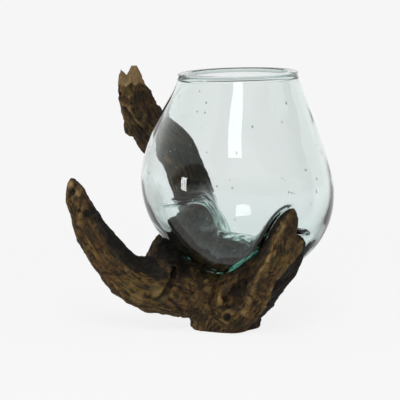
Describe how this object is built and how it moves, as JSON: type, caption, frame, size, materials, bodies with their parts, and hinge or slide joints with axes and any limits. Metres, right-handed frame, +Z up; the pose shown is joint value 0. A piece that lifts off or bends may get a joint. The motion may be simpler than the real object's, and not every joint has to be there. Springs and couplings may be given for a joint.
{
  "type": "vase on branch stand",
  "caption": "Blown glass vase with a rolled lip, sagged over a forked natural root that carries it; the vase lifts off.",
  "frame": {"origin": "middle of the root's sawn foot, on the ground", "axes": "+Z up, -Y towards the front with the short prong, -X towards the long left limb"},
  "size_m": [0.2588, 0.22, 0.2501],
  "materials": {
    "root_wood": "natural oiled root, dark brown with paler ridges and broken tips",
    "blown_glass": "clear recycled glass with a faint blue-green tint and small bubbles"
  },
  "bodies": {
    "stand": {"root_stand": "root_wood"},
    "vase": {"glass_vase": "blown_glass"}
  },
  "joints": [
    {"name": "vase_lift", "type": "slide", "parent": "stand", "child": "vase", "axis": [0, 0, 1], "range_m": [0, 0.2]}
  ]
}
